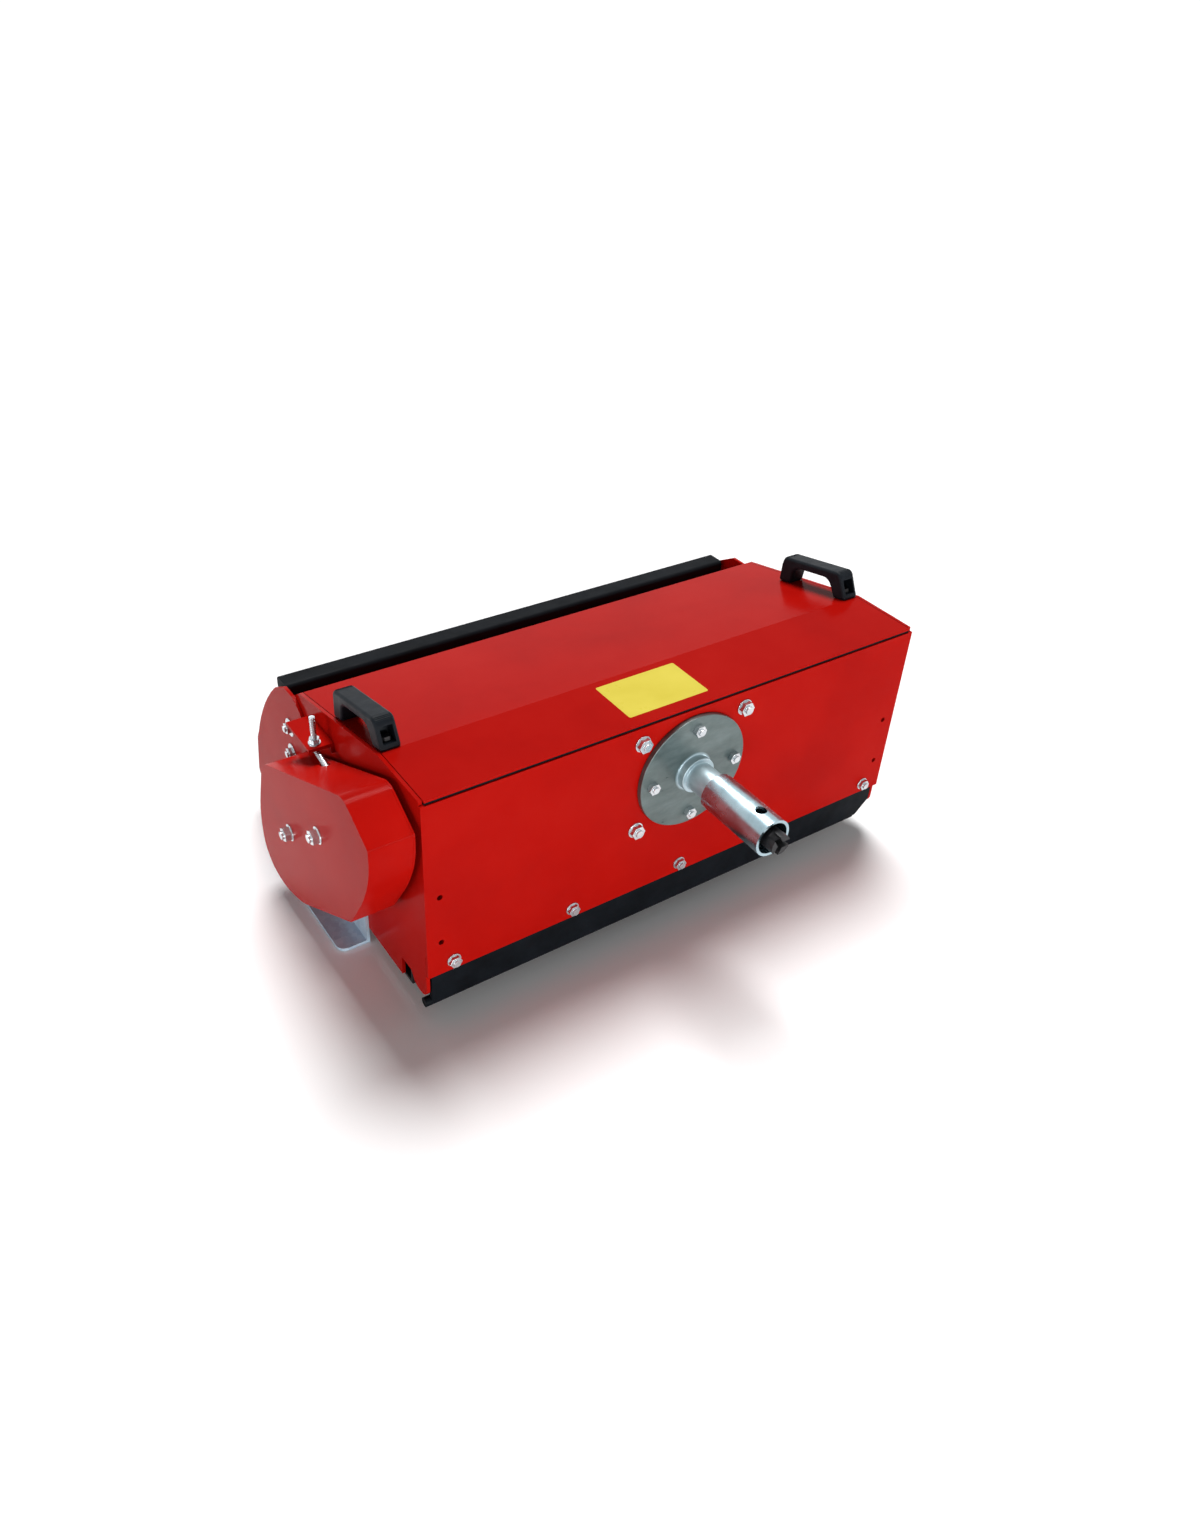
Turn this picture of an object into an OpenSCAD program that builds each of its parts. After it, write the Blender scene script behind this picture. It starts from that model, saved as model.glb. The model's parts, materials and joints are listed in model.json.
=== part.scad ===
// Flail mower for a two-wheel tractor, in millimetres.
// The origin is the centre of the coupling tube's mouth. Y runs into the machine, Z is up.

/* [Coupling] */
// Outside diameter of the coupling tube
tube_d = 55; // [50:0.5:60]
// Wall of the coupling tube
tube_wall = 4; // [3:0.5:5]
// Length of the coupling tube
tube_len = 114; // [90:1:140]
// Diameter of the neck between tube and flange
neck_d = 43; // [38:1:46]
// Length of the neck
neck_len = 52; // [40:1:70]
// Diameter of the coupling flange
flange_d = 190; // [176:1:200]
// Thickness of the coupling flange
flange_t = 8; // [6:1:14]
// Bolt circle of the coupling flange
flange_pcd = 140; // [130:1:150]
// Diameter of the locking pin hole
lock_hole_d = 16; // [10:1:20]
// Distance from the tube's mouth to the locking pin hole
lock_hole_y = 28; // [20:1:50]
// Diameter of the drive shaft
pto_shaft_d = 22; // [18:1:24]
// Reach of the shaft's dog past the tube's mouth
dog_reach = 16; // [4:1:30]

/* [Housing] */
// Width over the side plates
body_w = 820; // [760:10:1000]
// Height of the coupling panel
panel_h = 287; // [270:1:310]
// Height of the panel's top edge over the drive axis
pto_drop = 98; // [94:1:110]
// Thickness of the coupling panel
panel_t = 5; // [3:0.5:6]
// Thickness of the side plates and cheeks
plate_t = 5; // [3:0.5:6]
// Distance from the panel's face to the fold in the lid
lid_fold = 114; // [90:1:140]
// Distance from the panel's face to the lid's rear bend
lid_end = 362; // [350:1:380]
// Slope of the lid behind its fold, in degrees
lid_slope = 12; // [10:0.5:13]
// Thickness of the lid
lid_t = 3; // [2:0.5:4]
// Thickness of the seal under the lid's front edge
seal_t = 3; // [2:0.5:5]
// Depth of the rubber bar along the lid
bar_w = 36; // [30:1:42]
// Height of the rubber bar
bar_h = 26; // [22:1:32]
// Length of a handle along the lid
handle_len = 148; // [130:1:170]
// Height of a handle
handle_h = 42; // [38:1:50]
// Width of a handle
handle_w = 29; // [25:1:34]

/* [Rotor] */
// Distance from the panel's face to the rotor's axis
rotor_back = 300; // [290:1:310]
// Height of the drive axis over the rotor's axis
rotor_drop = 142; // [138:1:150]
// Diameter of the rotor tube
rotor_d = 80; // [70:1:84]
// Wall of the rotor tube
rotor_wall = 8; // [5:0.5:10]
// Diameter of the rotor's shafts
rotor_shaft_d = 30; // [25:1:35]
// Distance from the rotor's axis to the flail pins
pin_circle_r = 58; // [56:1:62]
// Distance from the rotor's axis to the flail tips
tip_r = 108; // [100:1:110]
// Diameter of the flail pins
flail_pin_d = 14; // [10:1:16]
// Width of a flail's blade
flail_w = 60; // [50:1:66]
// Width of a flail's eye
eye_w = 25; // [20:1:30]
// Distance from the rotor's end to the middle of the outermost flail
flail_edge = 43.5; // [36:0.5:60]

/* [Drive] */
// Distance from the panel's face to the cross shaft
cross_back = 90; // [86:1:96]
// Diameter of the cross shaft
cross_shaft_d = 30; // [25:1:35]
// Diameter of the drive pulley
drive_pulley_d = 126; // [120:1:128]
// Diameter of the driven pulley
driven_pulley_d = 84; // [80:1:92]
// Diameter of the idler pulley
idler_d = 52; // [48:1:56]
// Width of a V belt across its back
belt_w = 13; // [10:0.5:14]
// Height of a V belt
belt_h = 9; // [7:0.5:10]
// Distance between the two V belts
belt_pitch = 16; // [15:0.5:18]
// Teeth of the bevel gear on the drive shaft
gear_teeth = 24; // [24:12:24]
// Teeth of the bevel pinion on the cross shaft
pinion_teeth = 12; // [12:12:12]
// Cone distance of the bevel pair at its outer end
cone_out = 48; // [44:1:50]
// Face width of the bevel pair
cone_face = 17; // [14:1:18]

/* [Belt case] */
// Size of the belt case about each pulley's axis
case_r = 95; // [92:1:100]
// Depth of the belt case
case_depth = 69.5; // [66:0.5:80]
// Wall of the belt case
case_t = 3; // [2:0.5:4]
// Gap between the side plate and the back plate of the belt case
case_gap = 8; // [7:0.5:8]

/* [Ground] */
// Height of the drive axis over the ground
ground_drop = 278; // [270:1:290]
// Width of a skid's sole
skid_w = 47; // [40:1:60]
// Thickness of a skid
skid_t = 5; // [4:0.5:6]
// Distance from the panel's face to a skid's rear end
skid_back = 185; // [180:1:190]
// Length of a skid's flat sole
skid_len = 245; // [235:1:260]
// Height adjustment of the skids
skid_travel = 30; // [20:1:32]
// Drop of the rubber skirt under the panel
skirt_drop = 54; // [46:1:60]

/* [Hidden] */

$fn = 64;
corner_steps = 6;

// Clearances
cut = 1;
run_gap = 0.06;
bolt_gap = 0.4;
seat_gap = 0.3;

// Fastener proportions of the nominal diameter
head_share = 0.65;
nut_share = 0.8;
flat_share = 0.92;
thread_share = 0.3;
washer_share = 1.05;
washer_t = 2;

// Reference planes and axes
y0 = flange_t + neck_len + tube_len;
yb = y0 + panel_t;
z_lid = pto_drop + seal_t + lid_t;
half_w = body_w / 2;
in_x = half_w - plate_t;
axis_a = [y0 + cross_back, 0];
axis_b = [y0 + rotor_back, -rotor_drop];
ground_z = -ground_drop;
pulley_gap = norm(axis_b - axis_a);
along = (axis_b - axis_a) / pulley_gap;
across = [-along[1], along[0]];

// Lid outline and hinge
lid_lip = 2;
lid_side_gap = 1;
bar_back = 76;
bar_fall = 53.2;
bar_in = 8;
bar_drop = 2;
hinge_in = 8;
hinge_fall = 13.1;
hinge_pin_d = 12;
knuckle_r = 10;
knuckle_w = 30;
hinge_edge = 130;
ear_t = 6;
ear_gap = 1;
ear_fall = 30;
ear_share = 0.7;
leaf_t = 8;
fold_p = [y0 + lid_fold, z_lid];
bend_p = [y0 + lid_end, z_lid - (lid_end - lid_fold) * tan(lid_slope)];
bar_p = bend_p + [bar_back, -bar_fall];
hinge_p = bar_p - [hinge_in, hinge_fall];
tail_slope = atan2(bar_fall, bar_back);
hinge_x = half_w - hinge_edge;
lid_half = in_x - lid_side_gap;
bar_round_share = 0.28;

// Cross tubes and hood
front_tube_y = 32;
front_tube_z = 48;
front_tube_wall = 3;
front_tube_out = 13;
front_tube_rise = 1;
front_face = hinge_p[0] - front_tube_out;
front_top = hinge_p[1] + front_tube_rise;
front_low = front_top - front_tube_z;
hood_r = 118;
hood_t = 4;
hood_front = acos((front_face - front_tube_y - axis_b[0]) / (hood_r + hood_t));
hood_rear = 200;
hood_steps = 40;
lower_tube_y = 44;
lower_tube_z = 36;
lower_tube_wall = 4;
lower_back = 60;
lower_rise = 22;
lower_p = [y0 + lower_back, ground_z + lower_rise];
tail_seat = 10;

// Side plate outline, measured from the panel's face and the panel's top edge
plate_step = 6;
plate_step_z = 252;
foot_end = 48;
foot_z = 332;
foot_round = 18;
notch_back = 80;
notch_z = 314;
notch_round = 6;
plate_low = 348;
plate_out = 470;
plate_waist_y = 440;
plate_waist_z = 106;
plate_hip_z = 200;
plate_round = 20;

// Cheek outline: places about the lid's bend, then about the rotor, with corner radii
cheek_lobe = [[-18, -75], [-12, -2], [54, -2]];
cheek_wing = [[261, 3], [280, -85], [140, -85], [140, 5], [58, 70]];
cheek_rounds = [8, 38, 58, 60, 14, 10, 12, 10];
cheek_bolt_d = 10;
cheek_bolt_y = [38, 40];
cheek_bolt_z = [78, 124];

// Panel
panel_flange = 24;
shaft_hole_d = 64;
gear_bolt_d = 12;
gear_bolt_x = 86.6;
gear_bolt_z = 73;
skirt_bolt_d = 10;
skirt_bolt_edge = 38;
skirt_bolt_rise = 17;
skirt_bolt_span = 2;
skirt_bolt_pitch = (half_w - skirt_bolt_edge) / skirt_bolt_span;
slot_d = 8;
slot_in = 21;
slot_z = [54, 132];

// Skirt and its strip
skirt_t = 8;
skirt_side = 7;
skirt_over = 34;
skirt_chamfer = 24;
bead_r = 7;
bead_out = 2;
bead_in = 36;
strip_t = 4;
strip_h = 24;
strip_side = 14;

// Coupling
ring_d = 54;
ring_t = 12;
neck_bore_gap = 3;
tube_end = 8;
flange_bolt_d = 10;
dog_d = 30;
dog_len = 40;
dog_slot = 9;
dog_slot_len = 14;
dog_claws = 3;

// Gearbox
box_wall = 10;
box_half_z = 66;
box_half_x = 66;
box_boss_x = 16;
box_front = 28;
box_depth = 117;
box_flange_x = 105;
box_flange_z = 92;
box_flange_t = 12;
cover_t = 10;
cover_bolt_d = 8;
bearing_wall = 15;
bearing_w = 13;
gear_hub_d = 68;
gear_hub_len = 12;
pinion_bore_d = 18;
pinion_collar = 9;

// Bevel tooth proportions: angles about the gear's own axis, as shares of a tooth's pitch
tooth_root_share = 0.28;
tooth_pitch_share = 0.19;
tooth_tip_share = 0.09;
addendum_share = 0.072;
dedendum_share = 0.1;

// Bearings on the side plates
unit_r = 48;
unit_flange_t = 10;
unit_boss_r = 29;
unit_boss_t = 20;
unit_bolt_d = 10;
unit_bolt_r = 40;
plate_hole_gap = 5;

// Pulleys and belts
belt_slope = 18;
belt_gap = 0.4;
groove_over = 2.5;
rim_side = 5;
pulley_inset = 23;
pulley_bush = 6;
belt_steps = 22;
shaft_over = 2;
idler_at = 110;
idler_axle_d = 14;
arm_t = 5;
arm_lift = 1;
arm_r = 13;
arm_pivot_share = 0.45;
arm_pivot_off = -5;

// Belt case outline: places about each pulley's axis and corner radii, as shares of case_r
case_front_shares = [[-0.18, -1.17], [-0.67, -0.41], [-0.95, 0.22], [-0.95, 0.66], [-0.295, 1.063]];
case_rear_shares = [[0.53, 1.13], [0.97, -0.1], [0.91, -0.95], [0.23, -1.06], [-0.47, -0.86]];
case_round_shares = [0.08, 3, 1.5, 0.05, 0.3, 0.6, 2, 0.5, 1.2, 2];
stud_d = 12;
stud_shares = [0.27, 0.78];
stud_off = 16;
stud_collar_d = 18;
back_hole_r = 54;

// Belt tension rod
rod_d = 8;
rod_in = 22.5;
rod_y = 262;
rod_top = 79;
rod_bend_z = 28;
rod_eye = [198, 14];
rod_slot_d = 13;
rod_knob_share = 1.15;
shelf_top = 37;
shelf_t = 5;
shelf_w = 36;
shelf_front = 250;
shelf_back = 326;
shelf_leg = 16;

// Skids: rear and front tabs along the sole, with a slot in each
skid_band = 41;
skid_tab_z = 114;
skid_tab_from = [0, 184];
skid_tab_w = [55, 58];
skid_round = 14;
skid_tab_round = 10;
skid_toe_len = 12;
skid_toe_rise = 36;
skid_toe_gap = 2;
skid_leg_cut = 20;
skid_bolt_d = 10;
skid_bolt_at = [17, 213];
skid_bolt_rise = 71;

// Handles
handle_edge = 20;
handle_x = half_w - handle_edge;
handle_at = 72;
handle_leg = 31;
handle_grip = 14;
handle_taper = 11;
handle_round = 10;
handle_arch = 16;
handle_pocket_w = 18;
handle_pocket_d = 25;
handle_pocket_h = 22;
handle_foot = 8;
handle_screw_d = 8;

// Rotor
rotor_end_gap = 15;
plug_t = 15;
stub_over = 6;
lug_t = 8;
lug_gap = 0.5;
lug_r = 15;
pin_head_t = 7;
flail_t = 12;
flail_eye_r = 13;
flail_neck_share = 0.5;
flail_count = 10;
rotor_half = in_x - rotor_end_gap;
flail_pitch = 2 * (rotor_half - flail_edge) / (flail_count - 1);

// Places that follow from the sizes above
case_face = -half_w - case_depth;
pulley_x = -half_w - pulley_inset;
pulley_w = belt_pitch + belt_w + 2 * rim_side;
rod_x = -half_w - rod_in;
rod_top_p = [y0 + rod_y, rod_top];
rod_bend_p = [y0 + rod_y, rod_bend_z];
rod_eye_p = [y0 + rod_eye[0], rod_eye[1]];
arm_pivot = axis_a + along * pulley_gap * arm_pivot_share + across * arm_pivot_off;
belt_tilt = acos((drive_pulley_d - driven_pulley_d) / (2 * pulley_gap));
belt_heading = atan2(along[1], along[0]);
upper_normal = [cos(belt_heading + belt_tilt), sin(belt_heading + belt_tilt)];
upper_run = [upper_normal[1], -upper_normal[0]];
idler_p = axis_a + upper_normal * (drive_pulley_d - idler_d) / 2 + upper_run * idler_at;
gear_cone = atan2(gear_teeth, pinion_teeth);
handle_mid = fold_p + handle_at * [cos(lid_slope), -sin(lid_slope)];
back_x = -half_w - case_gap;

// Geometry helpers
half_turn = 180;
full_turn = 2 * half_turn;
function unit(v) = v / norm(v);
function turned(a, b) = let (d = b - a) d > half_turn ? d - full_turn : d < -half_turn ? d + full_turn : d;
function corner(a, b, c, r) =
    r == 0 ? [b] :
    let (u = unit(a - b), v = unit(c - b), half = acos(u * v) / 2)
    let (m = b + unit(u + v) * r / sin(half), s = b + u * r / tan(half) - m, e = b + v * r / tan(half) - m)
    let (a0 = atan2(s[1], s[0]), da = turned(a0, atan2(e[1], e[0])) / corner_steps)
    [for (i = [0 : corner_steps]) m + r * [cos(a0 + da * i), sin(a0 + da * i)]];
function rounded(p, r) =
    let (n = len(p))
    [for (i = [0 : n - 1]) each corner(p[(i + n - 1) % n], p[i], p[(i + 1) % n], r[i])];
function arc(c, r, a0, a1, n) =
    [for (i = [0 : n]) let (a = a0 + (a1 - a0) * i / n) c + r * [cos(a), sin(a)]];
function under(p, a0, a1, t) = p - t / cos((a1 - a0) / 2) * [sin((a0 + a1) / 2), cos((a0 + a1) / 2)];
function case_outline(r) = rounded(
    concat([for (s = case_front_shares) axis_a + s * r], [for (s = case_rear_shares) axis_b + s * r]),
    case_round_shares * r
);
function lid_line_z(y) = bend_p[1] - (y - bend_p[0]) * tan(tail_slope);

// A shape drawn in Y and Z, extruded along X from one place to another
module slab(x_from, x_to) {
    translate([min(x_from, x_to), 0, 0])
        rotate([90, 0, 90])
            linear_extrude(abs(x_to - x_from)) children();
}

// A round bar along X or Y
module bar_x(d, x_from, x_to, p) {
    translate([min(x_from, x_to), p[0], p[1]])
        rotate([0, 90, 0])
            cylinder(h = abs(x_to - x_from), d = d);
}

module bar_y(d, y_from, y_to, x, z) {
    translate([x, y_from, z])
        rotate([-90, 0, 0])
            cylinder(h = y_to - y_from, d = d);
}

// A hexagon bolt along Z: head below zero, nut past the grip
module bolt(d, grip) {
    translate([0, 0, -head_share * d]) cylinder(h = head_share * d, r = flat_share * d, $fn = 6);
    translate([0, 0, -head_share * d / 2])
        cylinder(h = grip + head_share * d / 2 + (nut_share + thread_share) * d, d = d);
    translate([0, 0, grip]) cylinder(h = nut_share * d, r = flat_share * d, $fn = 6);
}

// The same bolt along Y with its nut towards the tractor, or along X with its nut outside
module bolt_y(d, y_nut, y_head, x, z) {
    translate([x, y_head, z]) rotate([90, 0, 0]) bolt(d, y_head - y_nut);
}

// A stud along Y, screwed in at its far end
module stud_y(d, y_nut, y_end, x, z) {
    bar_y(d, y_nut - (nut_share + thread_share) * d, y_end, x, z);
    translate([x, y_nut, z]) rotate([90, 0, 0]) cylinder(h = nut_share * d, r = flat_share * d, $fn = 6);
}

module bolt_x(d, x_head, x_nut, p) {
    translate([x_head, p[0], p[1]])
        rotate([0, x_nut > x_head ? 90 : -90, 0])
            bolt(d, abs(x_nut - x_head));
}

module both_sides() {
    children();
    mirror([1, 0, 0]) children();
}

// Places that repeat
function skirt_bolt_x() = [for (k = [-skirt_bolt_span : skirt_bolt_span]) k * skirt_bolt_pitch];
function cheek_bolt_p() = [for (k = [0, 1]) bend_p + [cheek_bolt_y[k], -cheek_bolt_z[k]]];
function skid_bolt_p() = [for (y = skid_bolt_at) [y0 + skid_back + y, ground_z + skid_bolt_rise]];
function unit_bolt_p(c) = [for (a = [45 : 90 : 315]) c + unit_bolt_r * [cos(a), sin(a)]];
function flange_bolt_p() = [for (a = [0 : 90 : 270]) flange_pcd / 2 * [cos(a), sin(a)]];
function stud_p() = [for (s = stud_shares) axis_a + along * pulley_gap * s + across * stud_off];
function flail_side(i) = i % 2 == 0 ? 1 : -1;
function flail_x(i) = (i - (flail_count - 1) / 2) * flail_pitch;
function flail_pin(i) = axis_b + [flail_side(i) * pin_circle_r, 0];

// Side plates
module plate_outline() {
    z_t = pto_drop;
    polygon(rounded([
        [yb, z_lid],
        [yb, z_t - plate_step_z],
        [y0 + plate_step, z_t - plate_step_z],
        [y0 + plate_step, z_t - foot_z],
        [y0 + foot_end, z_t - foot_z],
        [y0 + foot_end, z_t - notch_z],
        [y0 + notch_back, z_t - notch_z],
        [y0 + notch_back, z_t - plate_low],
        [y0 + plate_out, z_t - plate_low],
        [y0 + plate_out, z_t - plate_hip_z],
        [y0 + plate_waist_y, z_t - plate_waist_z],
        bend_p,
        fold_p
    ], [0, 0, 0, foot_round, foot_round, notch_round, notch_round, 0, plate_round, plate_round, plate_round, 0, 0]));
}

module plate_hole(side, d, p) {
    bar_x(d, side * (in_x - cut), side * (half_w + cut), p);
}

module side_plate(side) {
    difference() {
        slab(side * in_x, side * half_w) plate_outline();
        for (p = cheek_bolt_p()) plate_hole(side, cheek_bolt_d + bolt_gap, p);
        for (p = skid_bolt_p()) plate_hole(side, skid_bolt_d + bolt_gap, p);
        for (p = unit_bolt_p(axis_b)) plate_hole(side, unit_bolt_d + bolt_gap, p);
        plate_hole(side, rotor_shaft_d + 2 * plate_hole_gap, axis_b);
        if (side < 0) {
            plate_hole(side, cross_shaft_d + 2 * plate_hole_gap, axis_a);
            for (p = unit_bolt_p(axis_a)) plate_hole(side, unit_bolt_d + bolt_gap, p);
        }
    }
}

module side_plate_left() { color("firebrick") side_plate(-1); }
module side_plate_right() { color("firebrick") side_plate(1); }

// Cheeks
module cheek_outline() {
    polygon(rounded(
        concat([for (p = cheek_lobe) bend_p + p], [for (p = cheek_wing) axis_b + p]),
        cheek_rounds
    ));
}

module cheek(side) {
    difference() {
        slab(side * half_w, side * (half_w + plate_t)) cheek_outline();
        for (p = cheek_bolt_p())
            bar_x(cheek_bolt_d + bolt_gap, side * (half_w - cut), side * (half_w + plate_t + cut), p);
    }
}

module cheek_left() { color("firebrick") cheek(-1); }
module cheek_right() { color("firebrick") cheek(1); }

module cheek_bolts() {
    color("gainsboro") both_sides()
        for (p = cheek_bolt_p()) bolt_x(cheek_bolt_d, in_x, half_w + plate_t, p);
}

// Panel towards the tractor
module coupling_panel() {
    color("firebrick") difference() {
        union() {
            translate([-half_w, y0, pto_drop - panel_h]) cube([body_w, panel_t, panel_h]);
            translate([-lid_half, y0, pto_drop - panel_t]) cube([2 * lid_half, panel_flange, panel_t]);
        }
        bar_y(shaft_hole_d, y0 - cut, yb + cut, 0, 0);
        for (p = flange_bolt_p()) bar_y(flange_bolt_d + bolt_gap, y0 - cut, yb + cut, p[0], p[1]);
        for (x = [-gear_bolt_x, gear_bolt_x], z = [-gear_bolt_z, gear_bolt_z])
            bar_y(gear_bolt_d + bolt_gap, y0 - cut, yb + cut, x, z);
        for (x = skirt_bolt_x())
            bar_y(skirt_bolt_d + bolt_gap, y0 - cut, yb + cut, x, pto_drop - panel_h + skirt_bolt_rise);
        for (x = [-half_w + slot_in, half_w - slot_in], z = slot_z)
            bar_y(slot_d, y0 - cut, yb + cut, x, -z);
    }
}

module rubber_skirt() {
    low = pto_drop - panel_h - skirt_drop;
    side = half_w - skirt_side;
    color("black") difference() {
        union() {
            translate([0, yb + skirt_t, 0]) rotate([90, 0, 0]) linear_extrude(skirt_t) polygon([
                [-side, low], [side - skirt_chamfer, low], [side, low + skirt_chamfer],
                [side, low + skirt_drop + skirt_over], [-side, low + skirt_drop + skirt_over]
            ]);
            bar_x(2 * bead_r, -half_w - bead_out, half_w - bead_in, [yb + bead_r, low]);
        }
        for (x = skirt_bolt_x())
            bar_y(skirt_bolt_d + bolt_gap, yb - cut, yb + skirt_t + cut,
                x, low + skirt_drop + skirt_bolt_rise);
    }
}

module skirt_strip() {
    z_mid = pto_drop - panel_h + skirt_bolt_rise;
    color("dimgray") difference() {
        translate([-in_x + strip_side, yb + skirt_t, z_mid - strip_h / 2])
            cube([2 * (in_x - strip_side), strip_t, strip_h]);
        for (x = skirt_bolt_x())
            bar_y(skirt_bolt_d + bolt_gap, yb - cut, yb + skirt_t + strip_t + cut, x, z_mid);
    }
}

module skirt_bolts() {
    color("gainsboro") for (x = skirt_bolt_x())
        bolt_y(skirt_bolt_d, y0, yb + skirt_t + strip_t, x, pto_drop - panel_h + skirt_bolt_rise);
}

// Inner body
module rotor_hood() {
    tail_end = [lower_p[0] + lower_tube_y, lower_p[1] + lower_tube_z - tail_seat];
    color("firebrick") slab(-in_x, in_x) polygon(concat(
        arc(axis_b, hood_r + hood_t, hood_front, hood_rear, hood_steps),
        [tail_end, tail_end - [0, hood_t]],
        arc(axis_b, hood_r, hood_rear, hood_front, hood_steps)
    ));
}

module box_tube(p, size, wall, x_half) {
    difference() {
        translate([-x_half, p[0], p[1]]) cube([2 * x_half, size[0], size[1]]);
        translate([-x_half - cut, p[0] + wall, p[1] + wall])
            cube([2 * (x_half + cut), size[0] - 2 * wall, size[1] - 2 * wall]);
    }
}

module front_cross_tube() {
    color("firebrick")
        box_tube([front_face - front_tube_y, front_low], [front_tube_y, front_tube_z],
            front_tube_wall, in_x);
}

module lower_cross_tube() {
    color("black") box_tube(lower_p, [lower_tube_y, lower_tube_z], lower_tube_wall, in_x);
}

module hinge_ear() {
    difference() {
        union() {
            translate(hinge_p) circle(knuckle_r);
            polygon([
                [front_face, front_top - ear_fall],
                [front_face, front_top],
                hinge_p + ear_share * knuckle_r * [-1, 1],
                hinge_p + ear_share * knuckle_r * [1, -1]
            ]);
        }
        translate(hinge_p) circle(d = hinge_pin_d + 2 * run_gap);
    }
}

module hinge_brackets() {
    ear_in = knuckle_w / 2 + ear_gap;
    color("firebrick") both_sides() for (s = [-1, 1])
        slab(hinge_x + s * ear_in, hinge_x + s * (ear_in + ear_t)) hinge_ear();
}

module hinge_pins() {
    reach = knuckle_w / 2 + ear_gap + ear_t;
    color("silver") both_sides() {
        bar_x(hinge_pin_d, hinge_x - reach, hinge_x + reach, hinge_p);
        bar_x(hinge_pin_d + ear_t, hinge_x + reach, hinge_x + reach + ear_t / 2, hinge_p);
    }
}

module lid_seal() {
    color("black") translate([-lid_half, y0 + lid_lip, pto_drop])
        cube([2 * lid_half, panel_flange - 2 * lid_lip, seal_t]);
}

// Coupling
module coupling_flange() {
    bore_d = pto_shaft_d + 2 * neck_bore_gap;
    color("lightgray") difference() {
        union() {
            bar_y(flange_d, y0 - flange_t, y0, 0, 0);
            bar_y(ring_d, y0 - flange_t - ring_t, y0 - flange_t, 0, 0);
            bar_y(neck_d, tube_len, y0 - flange_t, 0, 0);
        }
        bar_y(bore_d, tube_len - cut, y0 + cut, 0, 0);
        for (p = flange_bolt_p())
            bar_y(flange_bolt_d + bolt_gap, y0 - flange_t - ring_t, y0 + cut, p[0], p[1]);
    }
}

module coupling_tube() {
    color("silver") difference() {
        bar_y(tube_d, 0, tube_len, 0, 0);
        bar_y(tube_d - 2 * tube_wall, -cut, tube_len - tube_end, 0, 0);
        bar_y(pto_shaft_d + 2 * neck_bore_gap, 0, tube_len + cut, 0, 0);
        translate([0, lock_hole_y, 0]) cylinder(h = tube_d, d = lock_hole_d);
    }
}

module flange_bolts() {
    color("gainsboro") for (p = flange_bolt_p())
        stud_y(flange_bolt_d, y0 - flange_t, yb + box_flange_t, p[0], p[1]);
}

// Gearbox
module gearbox_housing() {
    seat_d = pinion_bore_d + 2 * bearing_wall;
    boss_x = -box_half_x - box_boss_x;
    color("dimgray") difference() {
        union() {
            translate([-box_flange_x, yb, -box_flange_z])
                cube([2 * box_flange_x, box_flange_t, 2 * box_flange_z]);
            translate([-box_half_x, yb, -box_half_z])
                cube([2 * box_half_x, box_depth, 2 * box_half_z]);
            bar_x(seat_d + 2 * box_wall, boss_x, -box_half_x, axis_a);
        }
        translate([-box_half_x + box_wall, yb + box_front, -box_half_z + box_wall])
            cube([2 * (box_half_x - box_wall), box_depth, 2 * (box_half_z - box_wall)]);
        bar_y(pto_shaft_d + 2 * bearing_wall, yb - cut, yb + box_front + cut, 0, 0);
        bar_x(seat_d, boss_x - cut, -box_half_x + box_wall + cut, axis_a);
        for (p = flange_bolt_p())
            bar_y(flange_bolt_d + bolt_gap, yb - cut, yb + box_flange_t + cut, p[0], p[1]);
        for (x = [-gear_bolt_x, gear_bolt_x], z = [-gear_bolt_z, gear_bolt_z])
            bar_y(gear_bolt_d + bolt_gap, yb - cut, yb + box_flange_t + cut, x, z);
    }
}

module cover_places() {
    for (x = [-1, 1], z = [-1, 1])
        translate([x * (box_half_x - box_wall / 2), 0, z * (box_half_z - box_wall / 2)]) children();
}

module gearbox_cover() {
    color("dimgray") translate([-box_half_x, yb + box_depth, -box_half_z])
        cube([2 * box_half_x, cover_t, 2 * box_half_z]);
}

module gearbox_bolts() {
    color("gainsboro") {
        for (x = [-gear_bolt_x, gear_bolt_x], z = [-gear_bolt_z, gear_bolt_z])
            bolt_y(gear_bolt_d, y0, yb + box_flange_t, x, z);
        cover_places() translate([0, yb + box_depth + cover_t, 0]) rotate([-90, 0, 0])
            cylinder(h = head_share * cover_bolt_d, r = flat_share * cover_bolt_d, $fn = 6);
    }
}

module bearing_ring(bore_d) {
    difference() {
        cylinder(h = bearing_w, d = bore_d + 2 * (bearing_wall - run_gap));
        translate([0, 0, -cut]) cylinder(h = bearing_w + 2 * cut, d = bore_d + 2 * run_gap);
    }
}

module gearbox_bearings() {
    color("silver") {
        for (k = [0, 1]) translate([0, yb + k * (box_front - bearing_w), 0])
            rotate([-90, 0, 0]) bearing_ring(pto_shaft_d);
        translate([-box_half_x - box_boss_x + bearing_w, axis_a[0], axis_a[1]])
            rotate([0, -90, 0]) bearing_ring(pinion_bore_d);
    }
}

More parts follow.
